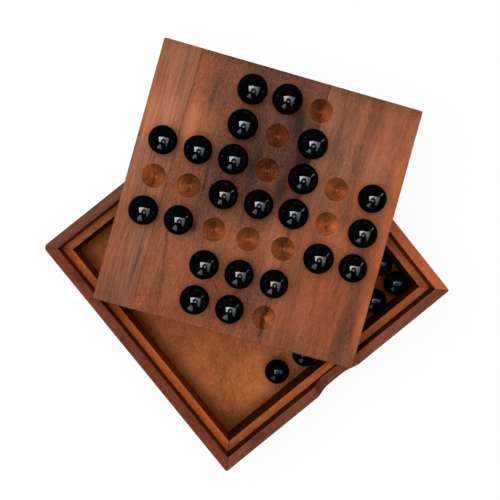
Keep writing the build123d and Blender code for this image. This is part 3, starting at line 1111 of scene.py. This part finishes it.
class SOLITAIRE_OT_walls(bpy.types.Operator):
    """Finishes the four outer walls of the tray"""

    bl_idname = "solitaire.walls"
    bl_label = "Outer Walls"

    def execute(self, context):
        look = context.scene.tray_look
        for seed, wall in enumerate(WALLS, WALL_SEED):
            pith = (WALL_PITH_STEP * seed, WALL_PITH_HEIGHT)
            paint([wall], plain_wood(wall, seed, getattr(look, wall), pith, WALL_DIRT))
        return {"FINISHED"}


class SOLITAIRE_OT_ledges(bpy.types.Operator):
    """Finishes the four strips of the ledge"""

    bl_idname = "solitaire.ledges"
    bl_label = "Ledge Strips"

    def execute(self, context):
        look = context.scene.tray_look
        for seed, ledge in enumerate(LEDGES, LEDGE_SEED):
            paint([ledge], plain_wood(ledge, seed, getattr(look, ledge), LEDGE_PITH, LEDGE_DIRT))
        return {"FINISHED"}


class SOLITAIRE_OT_tray_floor(bpy.types.Operator):
    """Finishes the thin panel that floors the tray"""

    bl_idname = "solitaire.tray_floor"
    bl_label = "Tray Floor"

    def execute(self, context):
        look = context.scene.tray_look
        paint(["base_panel"], floor_finish(look.floor, look.stain))
        return {"FINISHED"}


class SOLITAIRE_OT_board(bpy.types.Operator):
    """Finishes the three staves of the playing board"""

    bl_idname = "solitaire.board"
    bl_label = "Playing Board"

    def execute(self, context):
        look = context.scene.board_look
        for seed, stave in enumerate(STAVES, STAVE_SEED):
            paint([stave], board_finish(stave, seed, look.light, look.dark))
        return {"FINISHED"}


class SOLITAIRE_OT_marbles(bpy.types.Operator):
    """Finishes the marbles on the board and in the tray"""

    bl_idname = "solitaire.marbles"
    bl_label = "Marbles"

    def execute(self, context):
        look = context.scene.marble_look
        paint(BOARD_MARBLES, glass_finish("black_glass", look.colour, look.roughness))
        tray_glass = glass_finish("tray_glass", look.colour, look.roughness, **TRAY_POLISH)
        paint(TRAY_MARBLES, tray_glass)
        # The polish shows the dark room and not the wood, so the marbles' rims are black.
        for name in WALLS + LEDGES + STAVES + ("base_panel",):
            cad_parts[name].visible_glossy = False
        return {"FINISHED"}


class SOLITAIRE_OT_studio(bpy.types.Operator):
    """Makes the floor, the lights, the reflected cards and the camera"""

    bl_idname = "solitaire.studio"
    bl_label = "Studio"

    def execute(self, context):
        look = context.scene.studio_look
        sides = (-1, -1), (1, -1), (1, 1), (-1, 1)
        corners = [(PAPER_REACH * x, PAPER_REACH * y, 0) for x, y in sides]
        stage_mesh("paper", corners, [(0, 1, 2, 3)], paper_floor(look.floor))
        studio_world(look.ambient, look.ceiling)
        overhead_light("key", seen_in_marble(*KEY_SEEN_AT), KEY_DISTANCE, look.key_size, look.key)
        if look.reflections:
            reflections()
        photo_camera(context.scene)
        context.scene.view_settings.view_transform = "Standard"
        return {"FINISHED"}


class SOLITAIRE_PT_sidebar(bpy.types.Panel):
    """Lists the pieces of the set and the studio"""

    bl_label = "Marble Solitaire Set"
    bl_idname = "SOLITAIRE_PT_sidebar"
    bl_space_type = "VIEW_3D"
    bl_region_type = "UI"
    bl_category = "Solitaire"

    def draw(self, context):
        for look, operators in STEPS:
            box = self.layout.box()
            settings = getattr(context.scene, look)
            for name in settings.bl_rna.properties.keys():
                if name not in ("rna_type", "name"):
                    box.prop(settings, name)
            for operator in operators:
                box.operator(operator.bl_idname)


# Each group of settings and the operators that use it, in the order that they run.
STEPS = (
    ("tray_look", (SOLITAIRE_OT_walls, SOLITAIRE_OT_ledges, SOLITAIRE_OT_tray_floor)),
    ("board_look", (SOLITAIRE_OT_board,)),
    ("marble_look", (SOLITAIRE_OT_marbles,)),
    ("studio_look", (SOLITAIRE_OT_studio,)),
)
LOOKS = {
    "tray_look": TrayLook,
    "board_look": BoardLook,
    "marble_look": MarbleLook,
    "studio_look": StudioLook,
}
CLASSES = (*LOOKS.values(), *(c for _, group in STEPS for c in group), SOLITAIRE_PT_sidebar)


def register():
    """Registers the classes and gives each scene its settings."""
    for cls in CLASSES:
        bpy.utils.register_class(cls)
    for name, group in LOOKS.items():
        setattr(bpy.types.Scene, name, PointerProperty(type=group))


def unregister():
    """Undoes what register does, in the opposite order."""
    for name in LOOKS:
        delattr(bpy.types.Scene, name)
    for cls in reversed(CLASSES):
        bpy.utils.unregister_class(cls)


def main():
    """Runs every step."""
    register()
    for _, operators in STEPS:
        for operator in operators:
            group, step = operator.bl_idname.split(".")
            getattr(getattr(bpy.ops, group), step)()


if __name__ == "__main__":
    main()
